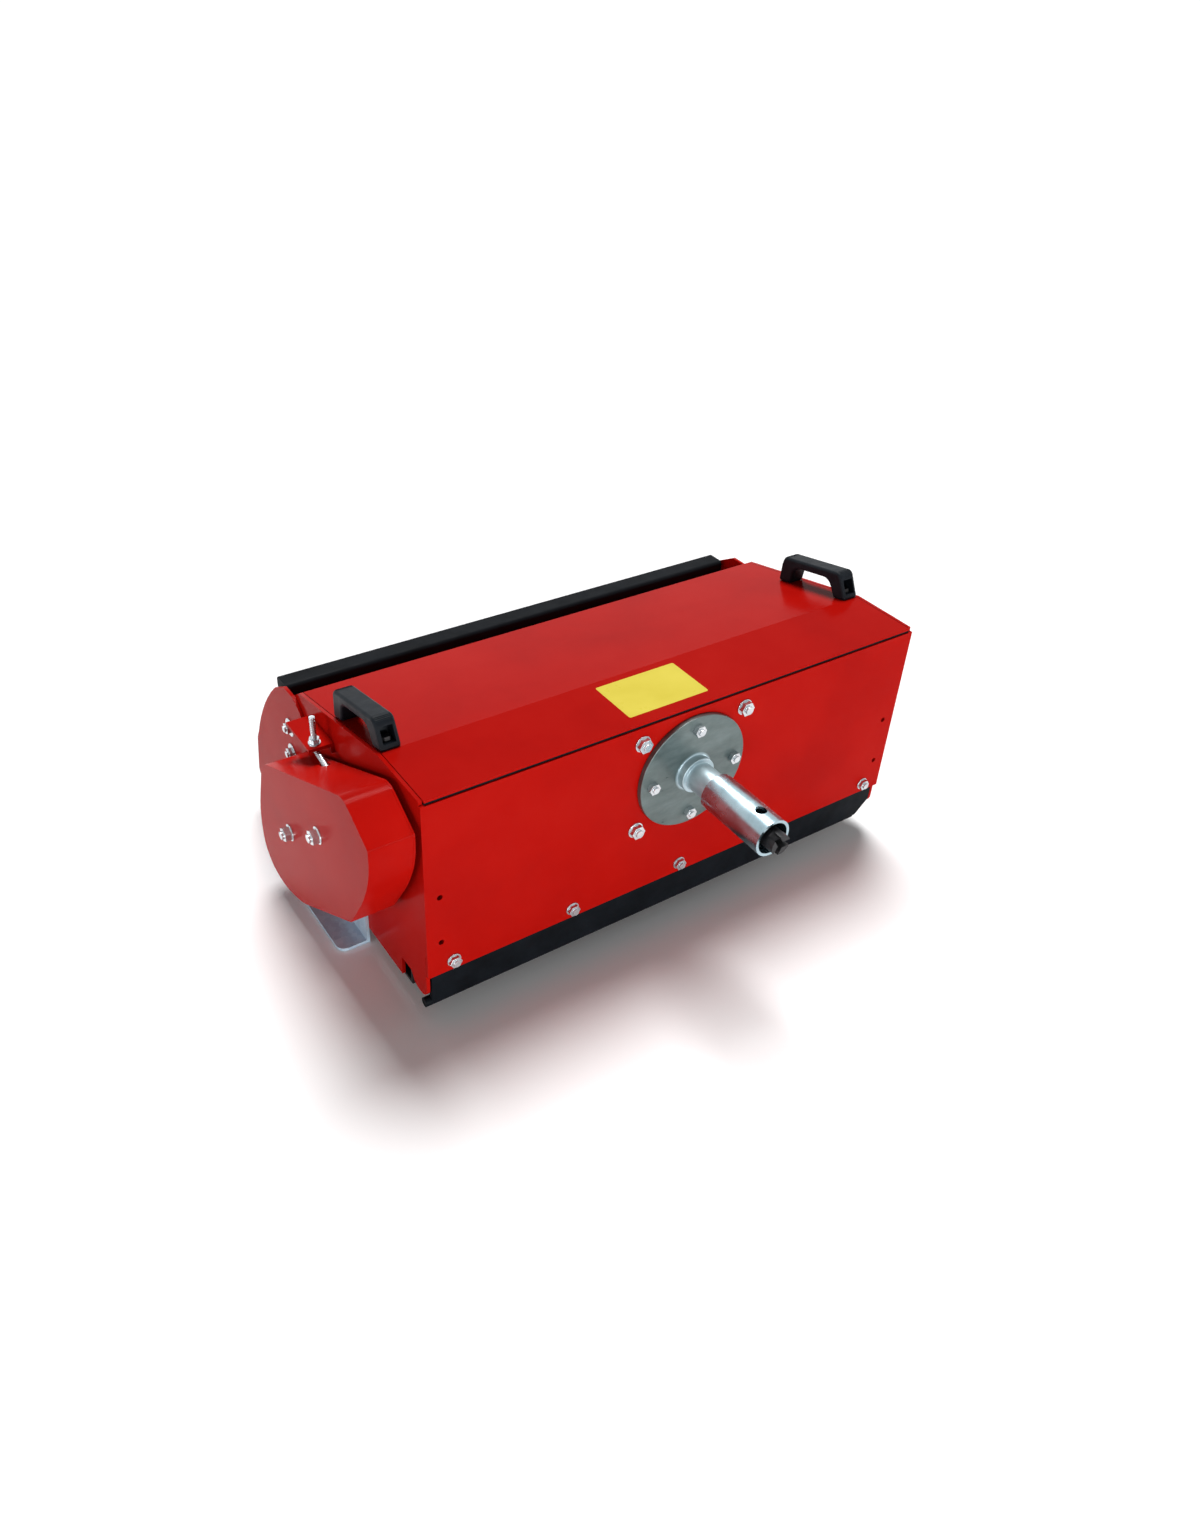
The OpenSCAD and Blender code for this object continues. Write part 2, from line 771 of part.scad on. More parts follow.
// Flanged bearing units outside the side plates
module bearing_unit(side, c, bore_d) {
    difference() {
        union() {
            bar_x(2 * unit_r, side * half_w, side * (half_w + unit_flange_t), c);
            bar_x(2 * unit_boss_r, side * half_w, side * (half_w + unit_boss_t), c);
        }
        bar_x(bore_d + 2 * run_gap, side * (half_w - cut), side * (half_w + unit_boss_t + cut), c);
        for (p = unit_bolt_p(c))
            bar_x(unit_bolt_d + bolt_gap, side * (half_w - cut), side * (half_w + unit_flange_t + cut), p);
    }
}

module cross_bearing() { color("dimgray") bearing_unit(-1, axis_a, cross_shaft_d); }

module rotor_bearings() {
    color("dimgray") {
        bearing_unit(-1, axis_b, rotor_shaft_d);
        bearing_unit(1, axis_b, rotor_shaft_d);
    }
}

module bearing_bolts() {
    color("gainsboro") {
        for (c = [axis_a, axis_b], p = unit_bolt_p(c))
            bolt_x(unit_bolt_d, -in_x, -half_w - unit_flange_t, p);
        for (p = unit_bolt_p(axis_b)) bolt_x(unit_bolt_d, in_x, half_w + unit_flange_t, p);
    }
}

// Belt drive
module belt_case() {
    color("firebrick") difference() {
        slab(case_face, back_x - case_t) polygon(case_outline(case_r));
        slab(case_face + case_t, back_x) polygon(case_outline(case_r - case_t));
        for (p = stud_p()) bar_x(stud_d + bolt_gap, case_face - cut, case_face + case_t + cut, p);
        rod_path(rod_slot_d, rod_bend_p, rod_eye_p);
    }
}

module case_back_plate() {
    color("firebrick") slab(back_x - case_t, back_x) difference() {
        polygon(case_outline(case_r));
        for (c = [axis_a, axis_b]) translate(c) circle(back_hole_r);
        for (p = stud_p()) translate(p) circle(d = stud_d + bolt_gap);
    }
}

module case_studs() {
    color("gainsboro") for (p = stud_p()) {
        bar_x(stud_d, case_face - (nut_share + thread_share) * stud_d - washer_t, -half_w, p);
        bar_x(stud_collar_d, back_x, -half_w, p);
        bar_x(2 * washer_share * stud_d, case_face - washer_t, case_face, p);
        translate([case_face - washer_t, p[0], p[1]]) rotate([0, -90, 0])
            cylinder(h = nut_share * stud_d, r = flat_share * stud_d, $fn = 6);
    }
}

// Rings of a belt loop: the angle round each pulley with the pulley's place and radius
function belt_rings() = concat(
    [for (i = [0 : belt_steps])
        [axis_a, drive_pulley_d / 2, belt_heading + belt_tilt + (360 - 2 * belt_tilt) * i / belt_steps]],
    [for (i = [0 : belt_steps])
        [axis_b, driven_pulley_d / 2, belt_heading - belt_tilt + 2 * belt_tilt * i / belt_steps]]
);

module v_belt(x) {
    rings = belt_rings();
    n = len(rings);
    half_back = belt_w / 2;
    half_base = half_back - belt_h * tan(belt_slope);
    section = [[half_back, 0], [-half_back, 0], [-half_base, belt_h], [half_base, belt_h]];
    points = [for (q = rings, k = section)
        let (yz = q[0] + (q[1] - k[1]) * [cos(q[2]), sin(q[2])]) [x + k[0], yz[0], yz[1]]];
    faces = [for (i = [0 : n - 1], k = [0 : 3])
        let (j = (i + 1) % n, m = (k + 1) % 4)
        each [[4 * i + k, 4 * j + k, 4 * j + m], [4 * i + k, 4 * j + m, 4 * i + m]]];
    polyhedron(points, faces);
}

module v_belts() {
    color("black") for (s = [-1, 1]) v_belt(pulley_x - pulley_w / 2 + s * belt_pitch / 2);
}

module pulley(d, bore_d, c) {
    groove_h = belt_h + groove_over;
    half_top = belt_w / 2 + belt_gap / cos(belt_slope);
    half_low = half_top - groove_h * tan(belt_slope);
    translate([pulley_x, c[0], c[1]]) rotate([0, -90, 0]) difference() {
        cylinder(h = pulley_w, d = d);
        translate([0, 0, -cut]) cylinder(h = pulley_w + 2 * cut, d = bore_d);
        for (s = [-1, 1]) translate([0, 0, pulley_w / 2 + s * belt_pitch / 2]) rotate_extrude() polygon([
            [d / 2 - groove_h, -half_low], [d / 2, -half_top], [d / 2 + cut, -half_top],
            [d / 2 + cut, half_top], [d / 2, half_top], [d / 2 - groove_h, half_low]
        ]);
    }
}

module drive_pulley() { color("slategray") pulley(drive_pulley_d, cross_shaft_d + 2 * run_gap, axis_a); }
module driven_pulley() { color("slategray") pulley(driven_pulley_d, rotor_shaft_d + 2 * run_gap, axis_b); }
module idler_pulley() { color("slategray") pulley(idler_d, idler_axle_d + 2 * run_gap, idler_p); }

// A flat link between two places
module link(p, q, r) {
    heading = atan2(q[1] - p[1], q[0] - p[0]);
    translate(p) circle(r);
    translate(q) circle(r);
    translate(p) rotate(heading) translate([0, -r]) square([norm(q - p), 2 * r]);
}

module idler_arm() {
    arm_x = back_x - case_t - arm_lift;
    color("dimgray") difference() {
        union() {
            slab(arm_x - arm_t, arm_x) {
                link(arm_pivot, idler_p, arm_r);
                link(idler_p, rod_eye_p, rod_d);
            }
            bar_x(2 * arm_r, arm_x, back_x - case_t, arm_pivot);
            bar_x(idler_axle_d, pulley_x - pulley_w, arm_x, idler_p);
            bar_x(2 * idler_axle_d - pulley_bush, pulley_x + seat_gap, arm_x - arm_t, idler_p);
        }
        bar_x(rod_d + bolt_gap, arm_x - arm_t - cut, arm_x + cut, rod_eye_p);
    }
}

module rod_path(d, p, q) {
    heading = atan2(q[1] - p[1], q[0] - p[0]);
    translate([rod_x, p[0], p[1]]) rotate([heading, 0, 0]) rotate([-90, 0, 0])
        cylinder(h = norm(q - p), d = d);
}

module tension_bracket() {
    color("firebrick") difference() {
        union() {
            translate([-half_w - shelf_w, y0 + shelf_front, shelf_top - shelf_t])
                cube([shelf_w, shelf_back - shelf_front, shelf_t]);
            translate([-half_w - shelf_t, y0 + shelf_front, shelf_top - shelf_leg])
                cube([shelf_t, shelf_back - shelf_front, shelf_leg]);
        }
        translate([rod_x, y0 + rod_y, 0]) cylinder(h = rod_top, d = rod_d + bolt_gap);
    }
}

module tension_rod() {
    color("gainsboro") {
        union() {
            translate([rod_x, y0 + rod_y, rod_bend_z]) cylinder(h = rod_top - rod_bend_z, d = rod_d);
            translate([rod_x, y0 + rod_y, rod_bend_z]) sphere(d = rod_knob_share * rod_d);
            rod_path(rod_d, rod_bend_p, rod_eye_p);
            translate([rod_x, rod_eye_p[0], rod_eye_p[1]]) sphere(d = rod_knob_share * rod_d);
            bar_x(rod_d, rod_x, back_x - case_t - arm_lift, rod_eye_p);
            translate([rod_x, y0 + rod_y, shelf_top]) {
                cylinder(h = washer_t, r = washer_share * rod_d);
                cylinder(h = washer_t + nut_share * rod_d, r = flat_share * rod_d, $fn = 6);
            }
        }
    }
}

// Skids
module skid_tab(k) {
    y_from = y0 + skid_back + skid_tab_from[k];
    y_to = y_from + skid_tab_w[k];
    difference() {
        polygon(rounded([[y_from, ground_z], [y_to, ground_z], [y_to, ground_z + skid_tab_z],
            [y_from, ground_z + skid_tab_z]], [0, 0, skid_tab_round, skid_tab_round]));
        link(skid_bolt_p()[k], skid_bolt_p()[k] + [0, skid_travel], skid_bolt_d / 2 + run_gap);
    }
}

module skid(side) {
    x_leg = half_w + skid_t;
    x_out = half_w + skid_w;
    y_from = y0 + skid_back;
    y_to = y_from + skid_len;
    color("lightsteelblue") {
        slab(side * half_w, side * x_leg) {
            translate([y_from, ground_z]) square([skid_len - skid_leg_cut, skid_band]);
            skid_tab(0);
            skid_tab(1);
        }
        translate([0, 0, ground_z]) linear_extrude(skid_t) polygon(rounded([
            [side * half_w, y_from], [side * x_out, y_from],
            [side * x_out, y_to], [side * (x_leg + skid_toe_gap), y_to],
            [side * (x_leg + skid_toe_gap), y_to - skid_leg_cut], [side * half_w, y_to - skid_leg_cut]
        ], [0, skid_round, 0, 0, 0, 0]));
        slab(side * (x_leg + skid_toe_gap), side * x_out) polygon([
            [y_to, ground_z], [y_to + skid_toe_len, ground_z + skid_toe_rise],
            [y_to + skid_toe_len, ground_z + skid_toe_rise + skid_t], [y_to, ground_z + skid_t]
        ]);
    }
}

module skid_left() { skid(-1); }
module skid_right() { skid(1); }

module skid_bolts() {
    color("gainsboro") both_sides() for (p = skid_bolt_p()) bolt_x(skid_bolt_d, in_x, half_w + skid_t, p);
}

// Lid and what it carries
module lid_outline() {
    front_p = [y0 + lid_lip, z_lid];
    polygon([
        front_p, fold_p, bend_p, bar_p,
        under(bar_p, tail_slope, tail_slope, lid_t),
        under(bend_p, lid_slope, tail_slope, lid_t),
        under(fold_p, 0, lid_slope, lid_t),
        under(front_p, 0, 0, lid_t)
    ]);
}

module on_lid(side) {
    translate([side * handle_x, handle_mid[0], handle_mid[1]]) rotate([-lid_slope, 0, 0]) children();
}

module lid() {
    root_z = lid_line_z(hinge_p[0]) - lid_t;
    color("firebrick") difference() {
        union() {
            slab(-lid_half, lid_half) lid_outline();
            both_sides() slab(hinge_x - knuckle_w / 2, hinge_x + knuckle_w / 2) {
                translate(hinge_p) circle(knuckle_r);
                translate(hinge_p - [leaf_t / 2, 0]) square([leaf_t, root_z - hinge_p[1]]);
            }
        }
        both_sides() bar_x(hinge_pin_d + 2 * run_gap, hinge_x - knuckle_w, hinge_x + knuckle_w, hinge_p);
        for (side = [-1, 1]) on_lid(side) handle_screw_places()
            translate([0, 0, -2 * lid_t]) cylinder(h = 4 * lid_t, d = handle_screw_d + bolt_gap);
    }
}

module lid_bar() {
    r = bar_round_share * bar_h;
    low = bar_p - [bar_in, bar_drop];
    color("black") slab(-lid_half, lid_half) difference() {
        polygon(rounded([low, low + [bar_w, 0], low + [bar_w, bar_h], low + [0, bar_h]], [r, r, r, r]));
        polygon([bend_p, bar_p, bar_p - [0, bar_h], bend_p - [0, 2 * bar_h]]);
    }
}

// A handle stands on its own plane: Y along the lid, Z off the lid
module handle_screw_places() {
    for (s = [-1, 1]) translate([0, s * (handle_len - handle_leg) / 2, 0]) children();
}

module handle() {
    h = handle_len / 2;
    inner = h - handle_leg;
    crown = inner - handle_taper;
    ceiling = handle_h - handle_grip;
    difference() {
        slab(-handle_w / 2, handle_w / 2) difference() {
            polygon(rounded([[-h, 0], [h, 0], [h - handle_taper, handle_h], [handle_taper - h, handle_h]],
                [0, 0, handle_round, handle_round]));
            polygon(rounded([[-inner, -cut], [inner, -cut], [crown, ceiling], [-crown, ceiling]],
                [0, 0, handle_arch, handle_arch]));
        }
        for (s = [-1, 1]) translate([-handle_pocket_w / 2, s * h - handle_pocket_d, handle_foot])
            cube([handle_pocket_w, 2 * handle_pocket_d, handle_pocket_h]);
        handle_screw_places() translate([0, 0, -cut])
            cylinder(h = handle_foot + 2 * cut, d = handle_screw_d + bolt_gap);
    }
}

module handle_left() { color("darkslategray") on_lid(-1) handle(); }
module handle_right() { color("darkslategray") on_lid(1) handle(); }

module handle_screws() {
    color("gainsboro") for (side = [-1, 1]) on_lid(side) handle_screw_places() {
        translate([0, 0, -lid_t])
            cylinder(h = lid_t + handle_foot + nut_share * handle_screw_d, d = handle_screw_d);
        translate([0, 0, -lid_t - head_share * handle_screw_d])
            cylinder(h = head_share * handle_screw_d, r = flat_share * handle_screw_d, $fn = 6);
        translate([0, 0, handle_foot])
            cylinder(h = nut_share * handle_screw_d, r = flat_share * handle_screw_d, $fn = 6);
    }
}

// Drive shaft and bevel pair
module pto_shaft() {
    color("black") difference() {
        union() {
            bar_y(pto_shaft_d, 0, axis_a[0] - cone_out * cos(gear_cone) + cone_face * cos(gear_cone), 0, 0);
            bar_y(dog_d, -dog_reach, dog_len - dog_reach, 0, 0);
        }
        for (k = [0 : dog_claws - 1]) rotate([0, k * 360 / dog_claws, 0])
            translate([0, -dog_reach - cut, -dog_slot / 2]) cube([dog_d, dog_slot_len + cut, dog_slot]);
    }
}

// Outline of a bevel gear in the plane at a distance from the cone's tip
function bevel_outline(teeth, cone, d) =
    let (pitch = 360 / teeth)
    let (tip = d * tan(cone + atan(addendum_share)), mid = d * tan(cone))
    let (root = d * tan(cone - atan(dedendum_share)))
    let (flank = [[tooth_root_share, root], [tooth_pitch_share, mid], [tooth_tip_share, tip]])
    let (tooth = concat([for (k = flank) [-k[0], k[1]]], [for (k = [2, 1, 0]) flank[k]]))
    [for (i = [0 : teeth - 1], k = tooth) k[1] * [cos(pitch * (i + k[0])), sin(pitch * (i + k[0]))]];

module bevel(teeth, cone, phase) {
    d_out = cone_out * cos(cone);
    d_in = (cone_out - cone_face) * cos(cone);
    rotate(phase) linear_extrude(d_out - d_in, scale = d_in / d_out)
        polygon(bevel_outline(teeth, cone, d_out));
}

module bevel_gear() {
    y_out = axis_a[0] - cone_out * cos(gear_cone);
    color("slategray") difference() {
        union() {
            translate([0, y_out, 0]) rotate([-90, 0, 0]) bevel(gear_teeth, gear_cone, 180);
            bar_y(gear_hub_d, y_out - gear_hub_len, y_out, 0, 0);
        }
        bar_y(pto_shaft_d + 2 * run_gap, y_out - gear_hub_len - cut, axis_a[0], 0, 0);
    }
}

module bevel_pinion() {
    cone = 90 - gear_cone;
    x_out = -cone_out * cos(cone);
    color("slategray") difference() {
        union() {
            translate([x_out, axis_a[0], axis_a[1]]) rotate([0, 90, 0])
                bevel(pinion_teeth, cone, -90 + 180 / pinion_teeth);
            bar_x(pinion_bore_d + pinion_collar, x_out - pinion_collar, x_out, axis_a);
        }
        bar_x(pinion_bore_d + 2 * run_gap, x_out - pinion_collar - cut, 0, axis_a);
    }
}

module cross_shaft() {
    step_x = -box_half_x - box_boss_x - pinion_collar;
    x_end = -(cone_out - cone_face) * cos(90 - gear_cone);
    color("silver") {
        union() {
            bar_x(pinion_bore_d, step_x, x_end, axis_a);
            bar_x(cross_shaft_d, pulley_x - pulley_w - shaft_over, step_x, axis_a);
        }
    }
}

// Rotor
module rotor_tube() {
    x_half = rotor_half;
    lug_in = eye_w / 2 + lug_gap;
    lug_out = lug_in + lug_t;
    color("darkslategray") difference() {
        union() {
            bar_x(rotor_d, -x_half, x_half, axis_b);
            for (i = [0 : flail_count - 1], s = [-1, 1])
                slab(flail_x(i) + s * lug_in, flail_x(i) + s * (lug_in + lug_t))
                    link(axis_b, flail_pin(i), lug_r);
        }
        bar_x(rotor_d - 2 * rotor_wall, -x_half - cut, x_half + cut, axis_b);
        for (i = [0 : flail_count - 1])
            bar_x(flail_pin_d + 2 * run_gap, flail_x(i) - lug_out - cut, flail_x(i) + lug_out + cut,
                flail_pin(i));
    }
}

module rotor_shafts() {
    plug_d = rotor_d - 2 * rotor_wall - 2 * run_gap;
    x_half = rotor_half;
    color("silver") {
        bar_x(plug_d, -x_half, -x_half + plug_t, axis_b);
        bar_x(rotor_shaft_d, pulley_x - pulley_w - shaft_over, -x_half + plug_t, axis_b);
        bar_x(plug_d, x_half - plug_t, x_half, axis_b);
        bar_x(rotor_shaft_d, x_half - plug_t, half_w + unit_boss_t + stub_over, axis_b);
    }
}

module flail_pins() {
    reach = eye_w / 2 + lug_gap + lug_t;
    head_d = 2 * lug_r - pin_head_t;
    color("gainsboro") for (i = [0 : flail_count - 1]) {
        bar_x(flail_pin_d, flail_x(i) - reach, flail_x(i) + reach, flail_pin(i));
        for (s = [-1, 1])
            bar_x(head_d, flail_x(i) + s * reach, flail_x(i) + s * (reach + pin_head_t), flail_pin(i));
    }
}

module flail(i) {
    p = flail_pin(i);
    reach = tip_r - pin_circle_r;
    neck = flail_neck_share * reach;
    color("dimgray") translate([flail_x(i), p[0], p[1]]) difference() {
        union() {
            bar_x(2 * flail_eye_r, -eye_w / 2, eye_w / 2, [0, 0]);
            translate([0, flail_t / 2, 0]) rotate([90, 0, 0]) linear_extrude(flail_t) polygon([
                [-eye_w / 2, 0], [eye_w / 2, 0], [eye_w / 2, -neck],
                [flail_w / 2, -neck - lug_t], [flail_w / 2, -reach],
                [-flail_w / 2, -reach], [-flail_w / 2, -neck - lug_t], [-eye_w / 2, -neck]
            ]);
        }
        bar_x(flail_pin_d + 2 * run_gap, -flail_w / 2, flail_w / 2, [0, 0]);
    }
}

side_plate_left();
side_plate_right();
cheek_left();
cheek_right();
cheek_bolts();
coupling_panel();
rubber_skirt();
skirt_strip();
skirt_bolts();
rotor_hood();
front_cross_tube();
lower_cross_tube();
hinge_brackets();
hinge_pins();
lid_seal();
coupling_flange();
coupling_tube();
flange_bolts();
gearbox_housing();
gearbox_cover();
gearbox_bolts();
gearbox_bearings();
cross_bearing();
rotor_bearings();
bearing_bolts();
belt_case();
case_back_plate();
case_studs();
v_belts();
idler_arm();
tension_bracket();
tension_rod();
skid_left();
skid_right();
skid_bolts();
lid();
lid_bar();
handle_left();
handle_right();
handle_screws();
pto_shaft();
bevel_gear();
cross_shaft();
bevel_pinion();
drive_pulley();
rotor_tube();
rotor_shafts();
driven_pulley();
flail_pins();
idler_pulley();
flail(0);  // flail_01
flail(1);  // flail_02
flail(2);  // flail_03
flail(3);  // flail_04
flail(4);  // flail_05
flail(5);  // flail_06
flail(6);  // flail_07
flail(7);  // flail_08
flail(8);  // flail_09
flail(9);  // flail_10
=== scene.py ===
import json
import math

import bpy
from mathutils import Matrix, Vector


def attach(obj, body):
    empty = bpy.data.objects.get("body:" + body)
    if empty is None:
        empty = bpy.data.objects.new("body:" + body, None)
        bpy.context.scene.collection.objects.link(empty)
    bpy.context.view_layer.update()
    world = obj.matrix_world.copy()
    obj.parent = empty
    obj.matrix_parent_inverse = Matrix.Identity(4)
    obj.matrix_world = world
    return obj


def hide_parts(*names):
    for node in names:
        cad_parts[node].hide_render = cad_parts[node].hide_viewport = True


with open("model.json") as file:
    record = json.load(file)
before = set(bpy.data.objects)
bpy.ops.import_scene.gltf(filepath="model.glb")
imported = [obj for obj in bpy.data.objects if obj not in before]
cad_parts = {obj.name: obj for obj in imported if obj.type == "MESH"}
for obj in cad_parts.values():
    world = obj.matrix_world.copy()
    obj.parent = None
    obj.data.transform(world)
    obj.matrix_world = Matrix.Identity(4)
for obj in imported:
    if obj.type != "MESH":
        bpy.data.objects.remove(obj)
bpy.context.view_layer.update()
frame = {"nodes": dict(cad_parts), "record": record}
mm = 0.001
near = 0.00001  # metres, points this close count as one
plainCrease = 38  # degrees, faces that meet at less are shaded as one
nodeBody = {node: body for body, nodes in frame["record"]["behaviour"]["bodies"].items() for node in nodes}
print("frame loaded:", len(frame["nodes"]), "nodes")


# selection and edit-mode helpers

def deselectAll():
    bpy.ops.object.select_all(action="DESELECT")


def pick(piece):
    deselectAll()
    piece.select_set(True)
    bpy.context.view_layer.objects.active = piece


def editOn(selectMode):
    bpy.ops.object.mode_set(mode="EDIT")
    bpy.ops.mesh.select_mode(type=selectMode)


def editOff():
    bpy.ops.object.mode_set(mode="OBJECT")


def clearMarks(piece):
    editOff()
    for elements in (piece.data.vertices, piece.data.edges, piece.data.polygons):
        for element in elements:
            element.select = False


def selectFaces(piece, test):
    clearMarks(piece)
    for face in piece.data.polygons:
        face.select = test(face)
    editOn("FACE")


def selectEdges(piece, test):
    clearMarks(piece)
    points = piece.data.vertices
    for edge in piece.data.edges:
        edge.select = test(*(points[i].co for i in edge.vertices))
    editOn("EDGE")


def selectPoints(piece, test):
    clearMarks(piece)
    for point in piece.data.vertices:
        point.select = test(point.co)
    editOn("VERT")


def roundEdges(piece, width, steps, angle=35):
    bevel = piece.modifiers.new("rounding", "BEVEL")
    bevel.width = width
    bevel.segments = steps
    bevel.limit_method = "ANGLE"
    bevel.angle_limit = math.radians(angle)
    bevel.use_clamp_overlap = True
    pick(piece)
    bpy.ops.object.modifier_apply(modifier=bevel.name)


def finishPiece(piece, body, material, crease=plainCrease):
    pick(piece)
    bpy.ops.object.transform_apply(location=True, rotation=True, scale=True)
    bpy.ops.object.shade_smooth_by_angle(angle=math.radians(crease))
    # keeps flat sheet flat beside its rounded edges
    weighted = piece.modifiers.new("flatFaces", "WEIGHTED_NORMAL")
    weighted.keep_sharp = True
    bpy.ops.object.modifier_apply(modifier=weighted.name)
    piece.data.materials.clear()
    piece.data.materials.append(material)
    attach(piece, body)


# finishes: a noise is a scale, a detail and a roughness, a relief is a strength and a depth in mm

noiseSpread = (0.25, 0.75)  # where most of a noise's values lie


def startMaterial(name, fixed):
    material = bpy.data.materials.new(name)
    material.use_nodes = True
    tree = material.node_tree
    shader = tree.nodes["Principled BSDF"]
    for socket, value in fixed.items():
        shader.inputs[socket].default_value = value
    coords = tree.nodes.new("ShaderNodeTexCoord")
    return material, tree, shader, coords


def mapped(tree, coords, scale=(1, 1, 1), turn=(0, 0, 0)):
    mapping = tree.nodes.new("ShaderNodeMapping")
    mapping.inputs["Scale"].default_value = scale
    mapping.inputs["Rotation"].default_value = turn
    tree.links.new(coords.outputs["Object"], mapping.inputs["Vector"])
    return mapping.outputs["Vector"]


def noise(tree, vector, scale, detail, roughness=0.5):
    node = tree.nodes.new("ShaderNodeTexNoise")
    node.inputs["Scale"].default_value = scale
    node.inputs["Detail"].default_value = detail
    node.inputs["Roughness"].default_value = roughness
    tree.links.new(vector, node.inputs["Vector"])
    return node.outputs["Fac"]


def ramp(tree, value, stops):
    node = tree.nodes.new("ShaderNodeValToRGB")
    first, last = node.color_ramp.elements
    first.position, first.color = stops[0][0], (*stops[0][1], 1)
    last.position, last.color = stops[-1][0], (*stops[-1][1], 1)
    for place, colour in stops[1:-1]:
        node.color_ramp.elements.new(place).color = (*colour, 1)
    tree.links.new(value, node.inputs["Fac"])
    return node.outputs["Color"]


def setTones(tree, shader, value, tones):
    tree.links.new(ramp(tree, value, tones), shader.inputs["Base Color"])


def setGloss(tree, shader, value, rough):
    node = tree.nodes.new("ShaderNodeMapRange")
    node.inputs["From Min"].default_value, node.inputs["From Max"].default_value = noiseSpread
    node.inputs["To Min"].default_value, node.inputs["To Max"].default_value = rough
    tree.links.new(value, node.inputs["Value"])
    tree.links.new(node.outputs["Result"], shader.inputs["Roughness"])


def setRelief(tree, shader, height, relief, under=None):
    strength, depth = relief
    node = tree.nodes.new("ShaderNodeBump")
    node.inputs["Strength"].default_value = strength
    node.inputs["Distance"].default_value = depth * mm
    tree.links.new(height, node.inputs["Height"])
    if under:
        tree.links.new(under, node.inputs["Normal"])
    tree.links.new(node.outputs["Normal"], shader.inputs["Normal"])
    return node.outputs["Normal"]


redLook = {
    "patches": (5, 4, 0.6), "smears": (14, 5, 0.65), "smearStretch": (1, 3, 1), "rough": (0.13, 0.24),
    "tones": [(0.3, (0.37, 0.0040, 0.0024)), (0.52, (0.42, 0.0052, 0.0030)), (0.75, (0.45, 0.0080, 0.0048))],
    "waves": (16, 1, 0.4), "waveRelief": (0.05, 2.0), "peel": (420, 2, 0.5), "peelRelief": (0.12, 0.12),
    "fixed": {"Coat Weight": 0.01, "Coat Roughness": 0.04, "Specular IOR Level": 0.015},
}


def makeRedPaint(look):
    material, tree, shader, coords = startMaterial("redPowderPaint", look["fixed"])
    vector = mapped(tree, coords)
    setTones(tree, shader, noise(tree, vector, *look["patches"]), look["tones"])
    smears = noise(tree, mapped(tree, coords, look["smearStretch"]), *look["smears"])
    setGloss(tree, shader, smears, look["rough"])
    soft = setRelief(tree, shader, noise(tree, vector, *look["waves"]), look["waveRelief"])
    setRelief(tree, shader, noise(tree, vector, *look["peel"]), look["peelRelief"], soft)
    return material


# the flange's face is dull and turned in rings, its neck is bright, and both lie round Y
flangeLook = {
    "clouds": (26, 6, 0.62), "cloudStretch": (1, 1, 2.5), "rough": (0.26, 0.38),
    "disc": [(0.3, (0.090, 0.121, 0.118)), (0.7, (0.148, 0.188, 0.187))],
    "neck": [(0.3, (0.40, 0.52, 0.57)), (0.7, (0.56, 0.69, 0.74))],
    "neckRadius": 28.0, "fade": 1.0, "ringScale": 700, "ringRelief": (0.03, 0.2),
    "fixed": {"Metallic": 0.55},
}


def makeFlangeZinc(look):
    material, tree, shader, coords = startMaterial("zincFlange", look["fixed"])
    clouds = noise(tree, mapped(tree, coords, look["cloudStretch"]), *look["clouds"])
    fromAxis = tree.nodes.new("ShaderNodeVectorMath")
    fromAxis.operation = "LENGTH"
    tree.links.new(mapped(tree, coords, (1, 0, 1)), fromAxis.inputs[0])
    radius = fromAxis.outputs["Value"]
    edge = look["neckRadius"] * mm
    face = ramp(tree, radius, [(edge, (0, 0, 0)), (edge + look["fade"] * mm, (1, 1, 1))])
    mix = tree.nodes.new("ShaderNodeMix")
    mix.data_type = "RGBA"
    tree.links.new(face, mix.inputs[0])
    for socket, part in ((6, "neck"), (7, "disc")):  # the mix node's two colours
        tree.links.new(ramp(tree, clouds, look[part]), mix.inputs[socket])
    tree.links.new(mix.outputs[2], shader.inputs["Base Color"])
    setGloss(tree, shader, clouds, look["rough"])
    rings = tree.nodes.new("ShaderNodeTexNoise")
    rings.noise_dimensions = "1D"
    rings.inputs["Scale"].default_value = look["ringScale"]
    tree.links.new(radius, rings.inputs["W"])
    setRelief(tree, shader, rings.outputs["Fac"], look["ringRelief"])
    return material


# turned marks run round the coupling tube's axis, which lies on Y
turnedLook = {
    "clouds": (35, 4, 0.6), "tones": [(0.3, (0.30, 0.42, 0.47)), (0.7, (0.42, 0.55, 0.61))],
    "rough": (0.2, 0.3), "fixed": {"Metallic": 1.0},
    "rings": (900, 4, 0.7), "ringStretch": (0.02, 1, 0.02), "ringRelief": (0.03, 0.2),
}


def makeTurnedSteel(look):
    material, tree, shader, coords = startMaterial("turnedBrightSteel", look["fixed"])
    clouds = noise(tree, mapped(tree, coords), *look["clouds"])
    setTones(tree, shader, clouds, look["tones"])
    setGloss(tree, shader, clouds, look["rough"])
    rings = noise(tree, mapped(tree, coords, look["ringStretch"]), *look["rings"])
    setRelief(tree, shader, rings, look["ringRelief"])
    return material


